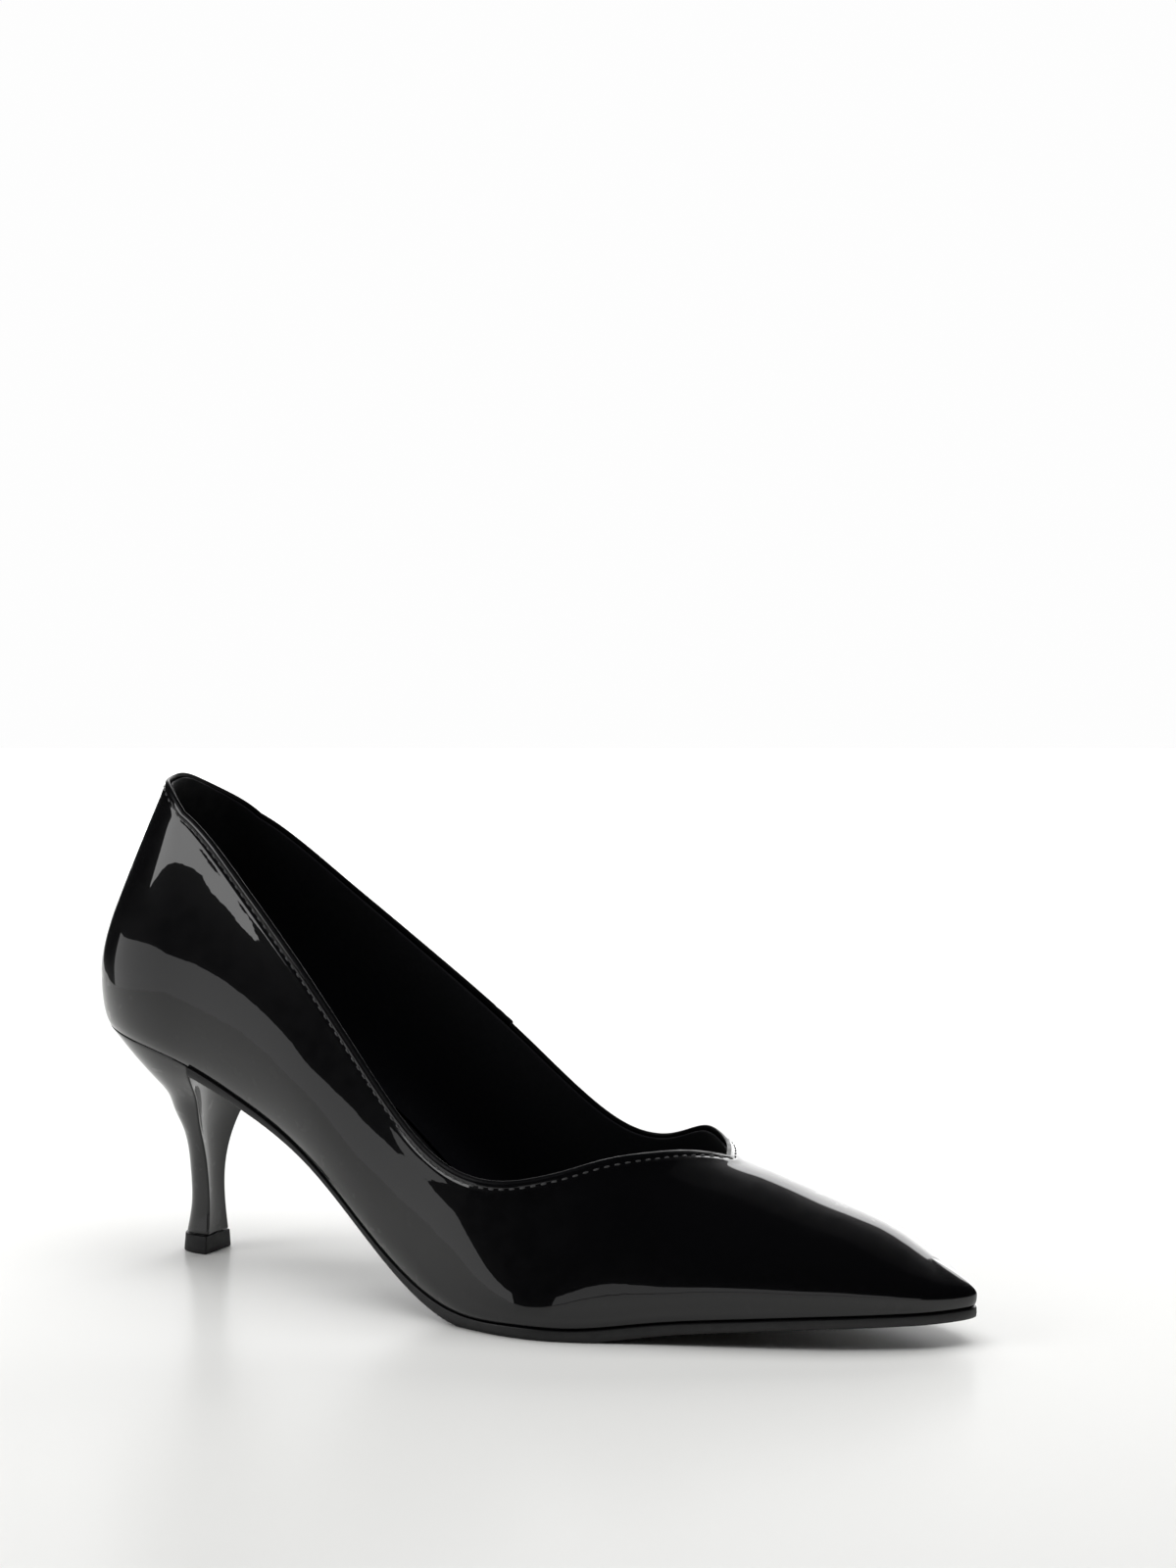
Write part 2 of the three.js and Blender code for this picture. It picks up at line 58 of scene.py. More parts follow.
LINING_EDGE, LINING_SHORT = 0.3, 14.0  # its edge's rounding, and where it ends behind the toe's fan
FIT_GAP = 0.3  # between neighbouring pieces
BREAST = 0.1484 * LENGTH
TOP_PIECE_HEIGHT = 4.7
FOLD_REACH, FOLD_HALF = 1.0, 0.55     # the folded edge: how far down it rounds, and half its thickness
STITCH_BELOW, STITCH_PITCH = 2.2, 2.7
SEAM_ROWS = (2.0, 4.0)                # the stitch rows of the inner side seam, behind its edge
SHIFT = np.array([-123.0016, 5.4096, 0.0])  # from that place to the row frame

# at, height, shares of LENGTH and SEAT_HEIGHT
LOWER_EDGE = np.array([
    [0, 1], [0.073, 0.9487], [0.134, 0.8877], [0.203, 0.777], [0.305, 0.5552], [0.407, 0.2342],
    [0.508, 0.0578], [0.59, 0.0487], [0.65, 0.0497], [0.724, 0.0829], [0.813, 0.1118], [0.894, 0.1319],
    [0.959, 0.1404], [1, 0.1471],
])
# at, outer, inner, tuckOuter, tuckInner
WIDTHS = np.array([
    [0.134, 0.352, 0.3466, 0.051, 0.051], [0.224, 0.373, 0.3636, 0.058, 0.064],
    [0.325, 0.4185, 0.3584, 0.066, 0.096], [0.427, 0.4755, 0.3474, 0.05, 0.095],
    [0.528, 0.5531, 0.368, 0.03, 0.058], [0.618, 0.5625, 0.424, 0.018, 0.03],
    [0.691, 0.4772, 0.432, 0.016, 0.022], [0.764, 0.3937, 0.402, 0.016, 0.018],
    [0.837, 0.306, 0.362, 0.015, 0.016], [0.911, 0.199, 0.281, 0.013, 0.015],
    [0.959, 0.101, 0.203, 0.013, 0.013], [1, 0.011, 0.135, 0.01, 0.01],
])
# at, widest, ridge, ridgeY, rise, crown
HEIGHTS = np.array([
    [0.134, 0.3195, 2.3785, 0, 0.308, 0.346], [0.224, 0.3369, 2.1036, 0, 0.397, 0.337],
    [0.325, 0.2755, 1.8228, 0, 0.4469, 0.3688], [0.427, 0.1944, 1.6137, 0, 0.4669, 0.4094],
    [0.528, 0.05, 1.3533, 0.006, 0.4346, 0.4849], [0.618, 0.05, 1.1665, 0.015, 0.2206, 0.451],
    [0.691, 0.05, 0.7619, 0.026, 0.5526, 0.5848], [0.764, 0.0879, 0.6099, 0.038, 0.52, 0.52],
    [0.837, 0.0842, 0.5169, 0.051, 0.52, 0.52], [0.911, 0.0707, 0.4124, 0.064, 0.52, 0.52],
    [0.959, 0.0561, 0.3069, 0.071, 0.52, 0.52], [1, 0.0416, 0.2459, 0.077, 0.52, 0.52],
])
# turn, outer, inner
TOPLINE = np.array([
    [-1, 0.6425, 0.6425], [-0.667, 0.613, 0.6015], [-0.333, 0.558, 0.5041], [0, 0.4869, 0.4357],
    [0.189, 0.3792, 0.3885], [0.398, 0.2846, 0.406], [0.552, 0.2493, 0.3992], [0.678, 0.3093, 0.3831],
    [0.783, 0.4176, 0.4172], [0.867, 0.5248, 0.5127], [0.93, 0.7115, 0.6768], [0.972, 0.9086, 0.8319],
    [1, 1, 1],
])
# at, thickness
SOLE = np.array([[0.15, 2.4], [0.25, 1.9], [0.4, 1.9], [0.5, 3], [0.66, 3.1], [0.76, 2.7], [1, 2.5]])
# height above the top piece to SEAT_HEIGHT, slope, back, breast, half, scoop
HEEL = np.array([
    [0.7761, 0.72, 0.0331, 0.1444, 0.2615, 0.031], [0.7124, 0.4, 0.0586, 0.1404, 0.2185, 0.044],
    [0.6516, 0.28, 0.0743, 0.136, 0.1805, 0.038], [0.5869, 0.18, 0.0793, 0.1313, 0.1507, 0.029],
    [0.5077, 0.08, 0.0866, 0.1266, 0.1165, 0.022], [0.4073, 0, 0.0906, 0.1235, 0.0802, 0.014],
    [0.2819, 0, 0.0916, 0.1222, 0.0563, 0.009], [0.1293, 0, 0.0919, 0.1229, 0.0532, 0.006],
    [0, 0, 0.0865, 0.1237, 0.0648, 0.005],
])
# height, back, breast, half
TOP_PIECE = np.array([[1, 0.0853, 0.123, 0.0728], [0, 0.0837, 0.1231, 0.0788]])

OUTER, INNER = -1.0, 1.0
NEAR_END = 0.02       # a station this close to the back or the tip counts as the end
NEAR_RIDGE = 0.998    # a share above this counts as the ridge
NOTCH_ZONE = 14.0     # the topline turns sharply over this length behind the throat


def spline(xs, ys, level_start=False):
    """Cubic spline, level at its start if asked, free at its end."""
    xs, ys = np.asarray(xs, float), np.asarray(ys, float)
    n, h = len(xs), np.diff(xs)
    slope = np.diff(ys) / h
    a, r = np.zeros((n, n)), np.zeros(n)
    a[0, 0] = a[-1, -1] = 1
    if level_start:
        a[0, :2], r[0] = (2 * h[0], h[0]), 6 * slope[0]
    for i in range(1, n - 1):
        a[i, i - 1:i + 2] = h[i - 1], 2 * (h[i - 1] + h[i]), h[i]
        r[i] = 6 * (slope[i] - slope[i - 1])
    bend = np.linalg.solve(a, r)

    def value(x):
        x = np.asarray(x, float)
        i = np.clip(np.searchsorted(xs, x) - 1, 0, n - 2)
        p, q = (xs[i + 1] - x) / h[i], (x - xs[i]) / h[i]
        curve = ((p ** 3 - p) * bend[i] + (q ** 3 - q) * bend[i + 1]) * h[i] ** 2 / 6
        return p * ys[i] + q * ys[i + 1] + curve

    return value


lower_edge = spline(LOWER_EDGE[:, 0] * LENGTH, LOWER_EDGE[:, 1] * SEAT_HEIGHT)
sole_thickness = spline(SOLE[:, 0] * LENGTH, SOLE[:, 1])
at = WIDTHS[:, 0] * LENGTH
half_outer, half_inner, tuck_outer, tuck_inner = (
    spline(at, WIDTHS[:, k] * BALL_WIDTH, True) for k in (1, 2, 3, 4))
widest, ridge = (spline(at, HEIGHTS[:, k] * SEAT_HEIGHT, True) for k in (1, 2))
ridge_y = spline(at, HEIGHTS[:, 3] * BALL_WIDTH, True)
rise, crown = (spline(at, HEIGHTS[:, k], True) for k in (4, 5))

HEEL_TURN, TOE_TURN = HEEL_CENTRE * math.pi / 2, (LENGTH - TOE_CENTRE) * math.pi / 2
STRAIGHT, THROAT_STATION = TOE_CENTRE - HEEL_CENTRE, THROAT - HEEL_CENTRE
FIRST, LAST = -HEEL_TURN, STRAIGHT + TOE_TURN
turns = TOPLINE[:, 0] * np.where(TOPLINE[:, 0] < 0, HEEL_TURN, THROAT_STATION)
top_outer, top_inner = spline(turns, TOPLINE[:, 1], True), spline(turns, TOPLINE[:, 2], True)


def mix(a, b, t):
    return a + (b - a) * t


def bezier(t, p0, p1, p2, p3):
    s = 1 - t
    return s ** 3 * p0 + 3 * s * s * t * p1 + 3 * s * t * t * p2 + t ** 3 * p3


def under(share, tuck, high):
    """The curve below the widest line: how far in, and the height above the lower edge."""
    t = np.clip(-share, 0, 1)
    return bezier(t, 0, 0, 0.35 * tuck, tuck), bezier(t, high, 0.5 * high, 0.16 * high, 0)


def section(x, side, share):
    """Across the shoe at x: how far sideways, and the height above the lower edge."""
    w = np.where(side < 0, -half_outer(x), half_inner(x))
    tuck = side * np.where(side < 0, tuck_outer(x), tuck_inner(x))
    h, y, top = widest(x), ridge_y(x), ridge(x) - lower_edge(x)
    inset, low = under(share, tuck, h)
    t = np.clip(share, 0, 1)
    level, up = mix(w, y, 1 - crown(x)), mix(h, top, rise(x))
    high_y, high = bezier(t, w, w, level, y), bezier(t, h, up, top, top)
    return np.where(share < 0, w - inset, high_y), np.where(share < 0, low, high)


def back_profile(share):
    """The back seen from the side: how far forward, and the height above the lower edge."""
    inset, low = under(share, BACK_TUCK, BACK_WIDEST)
    s = np.maximum(share, 0) / TOPLINE[0, 1]

    def lean(v):
        return np.sqrt(BACK_BEND ** 2 + v * v) - BACK_BEND

    return (np.where(share < 0, inset, BACK_LEAN * lean(s) / lean(1)),
            np.where(share < 0, low, mix(BACK_WIDEST, BACK_HEIGHT, s)))


def toe_profile(share):
    """The toe seen from the side: how far back, and the height above the lower edge."""
    inset, low = under(share, TIP_TUCK, TIP_WIDEST)
    reach = LENGTH - TOE_CENTRE
    top, before = (ridge(x) - lower_edge(x) for x in (TOE_CENTRE, TOE_CENTRE - 1))
    handle = TIP_CROWN * reach
    shoulder = top + (top - before) * handle
    t = np.clip(share, 0, 1)
    return (np.where(share < 0, inset, bezier(t, 0, 0, reach - handle, reach)),
            np.where(share < 0, low, bezier(t, TIP_WIDEST, mix(TIP_WIDEST, shoulder, TIP_RISE), shoulder, top)))


def skin(station, side, share):
    """Points on the outside of the upper."""
    station, side, share = np.broadcast_arrays(np.asarray(station, float), side, np.asarray(share, float))
    x0 = np.clip(HEEL_CENTRE + station, HEEL_CENTRE, TOE_CENTRE)
    y0, h0 = section(x0, side, share)
    straight = np.stack([x0, y0, lower_edge(x0) + h0], -1)
    s = np.sin(np.clip(-station / HEEL_TURN, 0, 1) * math.pi / 2)
    inset, h_back = back_profile(share)
    yb, hb = section(np.full_like(x0, HEEL_CENTRE), side, share)
    xb = HEEL_CENTRE - (HEEL_CENTRE - inset) * s
    up = np.clip(share / TOPLINE[0, 1], 0, 1) ** 1.5
    off = np.sqrt(np.maximum(0, 1 - s ** mix(ROUNDNESS, COLLAR_ROUNDNESS, up))) * (1 - COLLAR_DRAW * up * s * s)
    heel = np.stack([xb, yb * off, lower_edge(xb) + mix(hb, h_back, s * s)], -1)
    s = np.sin(np.clip((station - STRAIGHT) / TOE_TURN, 0, 1) * math.pi / 2)
    inset, h_tip = toe_profile(share)
    xt = TOE_CENTRE + (LENGTH - TOE_CENTRE - inset) * s
    yt, ht = section(xt, side, share)
    middle, off = ridge_y(xt), np.sqrt(np.maximum(0, 1 - s ** ROUNDNESS))
    toe = np.stack([xt, middle + (yt - middle) * off, lower_edge(xt) + mix(ht, h_tip, s * s)], -1)
    pick = station[..., None]
    return np.where(pick < 0, heel, np.where(pick > STRAIGHT, toe, straight))


def unit(v):
    return v / np.maximum(np.linalg.norm(v, axis=-1, keepdims=True), 1e-12)


def tangents(station, side, share, d=0.02, e=0.002):
    """How the skin runs along the shoe and up the section, per unit of station and share."""
    s0, s1 = np.maximum(FIRST, station - d), np.minimum(LAST, station + d)
    u0, u1 = np.maximum(-1, share - e), np.minimum(1, share + e)
    fore = (skin(s1, side, share) - skin(s0, side, share)) / (s1 - s0)[..., None]
    up = (skin(station, side, u1) - skin(station, side, u0)) / (u1 - u0)[..., None]
    return fore, up


def normal(station, side, share):
    """Outward from the skin, square to it, and in the middle plane at the back, the tip and the ridge."""
    station, side, share = (np.array(v, float) for v in np.broadcast_arrays(station, side, share))
    ends = (station <= FIRST + NEAR_END) | (station >= LAST - NEAR_END)
    high = share > NEAR_RIDGE
    side = np.where(ends | high, INNER, side)
    station = np.where(high, np.minimum(station, STRAIGHT), station)
    fore, up = tangents(station, side, share)
    n = np.cross(fore, up) * -side[..., None]
    n[..., 1] = np.where(ends, 0, n[..., 1])
    return unit(n)


def top_share(station, side):
    """The topline, as a share of the section at each station."""
    value = np.where(side < 0, top_outer(station), top_inner(station))
    return np.where(station >= THROAT_STATION, 1.0, np.minimum(1.0, value))


def make(name, points, faces, material, slot, replaces=(), weld=0.004):
    """A piece of the shoe from points in millimetres, before the shift to the row frame."""
    points = np.asarray(points, float)
    key = np.round(points / weld).astype(np.int64)
    _, first, back = np.unique(key, axis=0, return_index=True, return_inverse=True)
    back = back.reshape(-1)
    new = [tuple(dict.fromkeys(back[list(f)])) for f in faces]
    new = [f for f in new if len(f) > 2]
    mesh = bpy.data.meshes.new(name)
    mesh.from_pydata([tuple(v) for v in (points[first] + SHIFT) / 1000], [], [tuple(map(int, f)) for f in new])
    mesh.validate()
    mesh.polygons.foreach_set("use_smooth", [True] * len(mesh.polygons))
    mesh.materials.append(material)
    ob = bpy.data.objects.new(name, mesh)
    bpy.context.scene.collection.objects.link(ob)
    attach(ob, "root")
    if replaces:
        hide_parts(*replaces)
    return ob


class Sheets:
    """Grids of points gathered into one mesh."""

    def __init__(self):
        self.points, self.faces = [], []
        self.count = 0

    def grid(self, p, flip=False):
        p = np.asarray(p, float)
        rows, cols = p.shape[:2]
        ids = self.count + np.arange(rows * cols).reshape(rows, cols)
        quads = np.stack([ids[:-1, :-1], ids[1:, :-1], ids[1:, 1:], ids[:-1, 1:]], -1).reshape(-1, 4)
        if flip:
            quads = quads[:, ::-1]
        self.faces += [tuple(q) for q in quads]
        self.points.append(p.reshape(-1, 3))
        self.count += rows * cols

    def make(self, name, material, slot, **kw):
        return make(name, np.concatenate(self.points), self.faces, material, slot, **kw)


def tree_of(points):
    """A search tree for the nearest of these points."""
    tree = KDTree(len(points))
    for i, p in enumerate(points):
        tree.insert(Vector(p), i)
    tree.balance()
    return tree


# The topline as points to measure from.
NOTCH_START = THROAT_STATION - NOTCH_ZONE
rim_stations = np.concatenate([
    np.linspace(FIRST, 0, 500), np.linspace(0, NOTCH_START, 1300),
    np.linspace(NOTCH_START, THROAT_STATION, 500)])
rim_tree = tree_of(np.concatenate([
    skin(rim_stations, side, top_share(rim_stations, side)) for side in (OUTER, INNER)]))


def from_rim(p):
    """Distance of each point from the topline."""
    flat = p.reshape(-1, 3)
    return np.array([rim_tree.find(Vector(v))[2] for v in flat]).reshape(p.shape[:-1])


def beside_topline(side, distance):
    """The line on the skin a given distance below the topline, up to the ridge: its stations and shares."""
    ahead = np.linspace(THROAT_STATION, THROAT_STATION + 3 * distance, 80)
    end = np.interp(distance, from_rim(skin(ahead, side, 1.0)), ahead)
    st = np.concatenate([
        np.linspace(FIRST, 0, 160)[:-1], np.linspace(0, NOTCH_START, 300)[:-1],
        mix(NOTCH_START, end, np.sin(np.linspace(0, math.pi / 2, 260)))])
    low, high = np.full_like(st, -1.0), top_share(st, side)
    for _ in range(22):
        share = (low + high) / 2
        far = from_rim(skin(st, side, share)) > distance
        low, high = np.where(far, share, low), np.where(far, high, share)
    high[-1] = 1.0
    return st, high


# The line where the rounding of the folded edge begins, as a share for any station, on either side.
fold_line = {side: beside_topline(side, FOLD_REACH) for side in (OUTER, INNER)}
NOTCH = float(np.mean([line[0][-1] for line in fold_line.values()]))


def fold_share(station, side):
    """Where the rounding of the folded edge begins, as a share of the section."""
    st, sh = fold_line[side]
    st = np.where(st > 0, st * NOTCH / st[-1], st)
    return np.where(station >= NOTCH, 1.0, np.interp(station, st, sh))


def smooth_step(a, b, x):
    t = np.clip((x - a) / (b - a), 0, 1)
    return t * t * (3 - 2 * t)


def leather_relief(d):
    """How the stitched fold stands out: a soft bead above the stitches, which draw the leather in."""
    bead = 0.16 * (1 - smooth_step(1.6, 5.5, d))
    groove = -0.2 * np.exp(-((d - STITCH_BELOW) / 0.42) ** 2)
    return bead + groove


SEAM = SEAM_AT - HEEL_CENTRE  # the inner side seam's station, half way up


def lap_of(base, side):
    """How far the quarter stands out where it laps over the vamp: full at its edge, fading to the heel."""
    behind = SEAM - base
    ramp = np.clip(1 - behind / LAP_FADE, 0, 1)
    edge = np.clip((behind - 0.3) / 0.5, 0, 1)
    return np.where(side > 0, LAP * ramp * np.sqrt(1 - (1 - edge) ** 2), 0.0)


def seam_stitch_groove(base):
    """The two furrows in which the seam's stitches lie."""
    return sum(-0.12 * np.exp(-((SEAM - base - row) / 0.4) ** 2) for row in SEAM_ROWS)


def columns():
    """Stations of the fine mesh, closer together at the seam and the notch."""
    s = np.concatenate([
        np.linspace(FIRST, 0, 56), np.arange(1, SEAM - 7, 1.1), np.arange(SEAM - 6.5, SEAM - 1.2, 0.28),
        SEAM - np.array([1.1, 0.95, 0.8, 0.68, 0.56, 0.48, 0.41, 0.36, 0.33, 0.3, 0.15, 0, -0.3, -0.8, -1.6]),
        np.arange(SEAM + 2.6, NOTCH - 9, 1.1), np.linspace(NOTCH - 8.5, NOTCH, 26),
        NOTCH + np.concatenate([np.arange(0.35, 6, 0.4), np.arange(6.6, 12, 0.8)]),
        np.arange(NOTCH + 13, STRAIGHT - 2, 1.1), np.linspace(STRAIGHT - 1, STRAIGHT, 3),
        np.linspace(STRAIGHT, LAST, 26)[1:]])
    return np.unique(np.round(s, 4))


# Depths below the folded edge of the mesh rows near it; even rows follow below.
EDGE_ROWS = np.array([0, 0.25, 0.5, 0.75, 0.95, 1.15, 1.4, 1.7, 2.1, 2.6, 3.2, 3.9, 4.8, 5.9, 7.2])
ROW_SPREAD = 1.25


def upper_sheet(side):
    """Where the mesh of one side lies: the upright columns lean with the seam on the inner side."""
    base = columns()
    top = fold_share(base, side)
    _, up = tangents(base, np.full_like(base, side), np.minimum(top, NEAR_RIDGE))
    length = np.linalg.norm(up, axis=-1)
    near = top[:, None] - EDGE_ROWS[None, :] / length[:, None] * ROW_SPREAD
    near = np.maximum(near, mix(top, -1, 0.6)[:, None])
    rest = mix(near[:, -1:], -1.0, np.linspace(0, 1, 44)[None, 1:])
    share = np.concatenate([near, rest], 1)
    upness = (share + 1) / (top[:, None] + 1)
    follow = np.maximum(0, 1 - np.abs(base - SEAM) / SEAM_REACH) if side > 0 else 0 * base
    station = base[:, None] + follow[:, None] * SEAM_LEAN * (upness - 0.5)
    # the fold line is read again at the leaned station, so that the edge stays where it is
    share = np.where(follow[:, None] > 0, mix(-1, fold_share(station, side), upness), share)
    return base, station, share


def build_upper(material, fold_material):
    """The patent outside, and the folded edge that rounds over to the lining."""
    sheets, folds = Sheets(), Sheets()
    for side in (OUTER, INNER):
        base, station, share = upper_sheet(side)
        p, n = skin(station, side, share), normal(station, side, share)
        d = from_rim(p)
        lap = lap_of(base, side)[:, None]
        seam = (seam_stitch_groove(base) if side > 0 else 0 * base)[:, None]
        low = smooth_step(-1, -0.93, share)
        out = p + n * (leather_relief(d) + lap + seam)[..., None] * low[..., None]
        sheets.grid(out, flip=side > 0)
        behind = base <= NOTCH + 1e-6
        st, sh = station[behind, 0], share[behind, 0]
        q, qn = skin(st, side, sh), normal(st, side, sh)
        run = unit(np.gradient(q, axis=0))
        w = unit(np.cross(run, qn)) * side
        # in the notch both sides meet straight behind, with a mitre
        w[-1] = unit(np.array([-1, 0, 0]) - qn[-1] * -qn[-1][0])
        w[-1] *= min(2.0, 1 / max(0.3, float(w[-1] @ w[-2])))
        edge = out[behind, 0]
        roll = [edge - FOLD_HALF * qn + FOLD_HALF * math.cos(t) * qn + FOLD_REACH * math.sin(t) * w
                for t in np.linspace(0, math.pi, 17)]
        roll.append(roll[-1] - w * 2.0)
        folds.grid(np.stack(roll, 1), flip=side < 0)
    sheets.make("patent_upper", material, "upper", replaces=("upper",))
    folds.make("rim_fold", fold_material, "upper")


def build_lining(material):
    """The lining on the inside of the wall, with a small rounded edge of its own under the fold."""
    sheets = Sheets()
    base = np.concatenate([
        np.linspace(FIRST, 0, 36), np.arange(2, NOTCH - 9, 2), np.linspace(NOTCH - 8, NOTCH, 16),
        np.linspace(NOTCH, STRAIGHT - LINING_SHORT, 26)[1:]])
    for side in (OUTER, INNER):
        top = fold_share(base, side)
        rows = np.concatenate([[0, 0.012, 0.03, 0.06], np.linspace(0.1, 1, 30)])
        share = mix(top[:, None], -0.96, rows[None, :])
        station = np.broadcast_to(base[:, None], share.shape)
        p, n = skin(station, side, share), normal(station, side, share)
        # the inside of the toe is too narrow for the full wall
        wall = np.minimum(WALL, 0.5 * np.linalg.norm((p - p.mean(1, keepdims=True)), axis=-1) + 1.2)
        inn = p - n * wall[..., None]
        beyond = np.maximum if side > 0 else np.minimum
        inn[..., 1] = beyond(inn[..., 1], ridge_y(inn[..., 0]))
        sheets.grid(inn, flip=side < 0)
        behind = base <= NOTCH + 1e-6
        q, qn = inn[behind, 0], n[behind, 0]
        run = unit(np.gradient(q, axis=0))
        w = unit(np.cross(run, qn)) * side
        rim_rows = [q + qn * LINING_EDGE * (1 - math.cos(t)) + w * LINING_EDGE * math.sin(t)
                    for t in np.radians(range(0, 181, 30))]
        rim_rows.append(rim_rows[-1] - w * 1.5)
        sheets.grid(np.stack(rim_rows, 1), flip=side > 0)
    sheets.make("lining", material, "insole")


def plan_outward(station, side):
    """Outward from the lower edge, seen from above."""
    station = np.asarray(station, float)
    fore, _ = tangents(station, np.full_like(station, side), np.full_like(station, -1.0))
    d = unit(np.stack([-side * fore[..., 1], side * fore[..., 0]], -1))
    d[station <= FIRST + NEAR_END] = [-1, 0]
    d[station >= LAST - NEAR_END] = [1, 0]
    return d


def inside(station, side, height, depth):
    """Point a given depth behind the skin and a given height above the lower edge."""
    station = np.asarray(station, float)
    low, high = np.full_like(station, -1.0), np.zeros_like(station)
    for _ in range(24):
        share = (low + high) / 2
        p = skin(station, side, share) - normal(station, side, share) * depth
        below = p[..., 2] - lower_edge(p[..., 0]) < height
        low, high = np.where(below, share, low), np.where(below, high, share)
    return skin(station, side, low) - normal(station, side, low) * depth


SOCK_CROWN = 2.34     # the sock's height above the lower edge
SOCK_SIDE = 2.2       # the height at which its distance from the wall is measured, at most


def build_insole(material):
    """The padded sock on its board: a low step runs round it, a little way in from the lining."""
    sheets = Sheets()
    base = np.concatenate([np.linspace(FIRST, 0, 40), np.arange(1.5, STRAIGHT - 4, 1.5), [STRAIGHT - 2]])
    # depth behind the lining, height above the lower edge; the first lies inside the wall and closes the gutter
    steps = [(-1.4, 0.9), (0.0, 0.7), (0.0, 1.15), (0.75, 1.2), (0.95, 1.25), (1.02, 1.5), (1.08, 1.85),
             (1.25, 2.12), (1.6, 2.25), (2.4, 2.3), (4.0, SOCK_CROWN)]
    last = {}
    for side in (OUTER, INNER):
        rings = []
        for depth, height in steps:
            p = inside(base, side, min(height, SOCK_SIDE), WALL + 0.05 + depth)
            p[:, 2] = lower_edge(p[:, 0]) + height
            if depth > 2:
                p[0, 1] = 0
            rings.append(p)
        sheets.grid(np.stack(rings, 1), flip=side > 0)
        last[side] = rings[-1]
    v = np.linspace(0, 1, 9)[None, :, None]
    middle = mix(last[OUTER][:, None], last[INNER][:, None], v)
    middle[..., 2] = lower_edge(middle[..., 0]) + SOCK_CROWN
    sheets.grid(middle)
    sheets.make("insole_sock", material, "insole", replaces=("insole",))


def build_outsole(material):
    """The thin sole with its rounded lip, a little below the upper."""
    sheets = Sheets()
    st = np.concatenate([
        np.arange(BREAST + 0.35 - HEEL_CENTRE, STRAIGHT - 0.5, 1.4), np.linspace(STRAIGHT, LAST, 22)])
    # reach outward, distance from the top or bottom, and which: 0 the top, 1 the bottom, else a share between
    rows = [(-2.2, 0.0, 0), (SOLE_LIP - 0.25, 0.0, 0), (SOLE_LIP - 0.06, 0.1, 0), (SOLE_LIP, 0.3, 0),
            (SOLE_LIP, 0.6, 0.6), (SOLE_LIP - 0.08, 0.25, 1), (SOLE_LIP - 0.35, 0.06, 1),
            (SOLE_LIP - 0.9, 0, 1)]
    low = {}
    for side in (OUTER, INNER):
        p, out = skin(st, side, -1.0), plan_outward(st, side)
        lines = []
        for reach, off, kind in rows:
            q = np.empty_like(p)
            q[:, :2] = p[:, :2] + out * reach
            edge = lower_edge(p[:, 0] + out[:, 0] * SOLE_LIP)
            top = edge - SOLE_BELOW
            bottom = np.maximum(0, edge - FIT_GAP - sole_thickness(q[:, 0]))
            if kind == 0:
                q[:, 2] = top - off
            elif kind == 1:
                q[:, 2] = bottom + off
            else:
                q[:, 2] = mix(top, bottom, kind)
            lines.append(q)
        sheets.grid(np.stack(lines, 1), flip=side > 0)
        low[side] = (lines[-1], lines[0])
    v = np.linspace(0, 1, 13)[None, :, None]
    tread = mix(low[OUTER][0][:, None], low[INNER][0][:, None], v)
    tread[..., 2] = np.maximum(0, lower_edge(tread[..., 0]) - FIT_GAP - sole_thickness(tread[..., 0]))
    sheets.grid(tread)
    cover = mix(low[OUTER][1][:, None], low[INNER][1][:, None], v)
    sheets.grid(cover, flip=True)
    ends = np.stack([cover[0], mix(cover[0], tread[0], 0.5), tread[0]], 0)
    sheets.grid(ends)
    sheets.make("outsole_leather", material, "outsole", replaces=("outsole",))


# The lower edge round the seat, which the heel's outline follows on the way down.
seat_stations = np.concatenate([[BREAST - HEEL_CENTRE], np.linspace(2, 0, 3), np.linspace(0, FIRST, 60)[1:]])
seat = {side: skin(seat_stations, side, -1.0) for side in (OUTER, INNER)}
SEAT_BACK, SEAT_HALF = float(seat[OUTER][-1, 0]), float(seat[INNER][0, 1])


def walk(line, distances):
    """Points at given distances along a line."""
    run = np.concatenate([[0], np.cumsum(np.linalg.norm(np.diff(line, axis=0), axis=1))])
    distances = np.where(distances < 0, run[-1] + distances, distances)
    return np.stack([np.interp(distances, run, line[:, k]) for k in range(line.shape[1])], -1), run[-1]


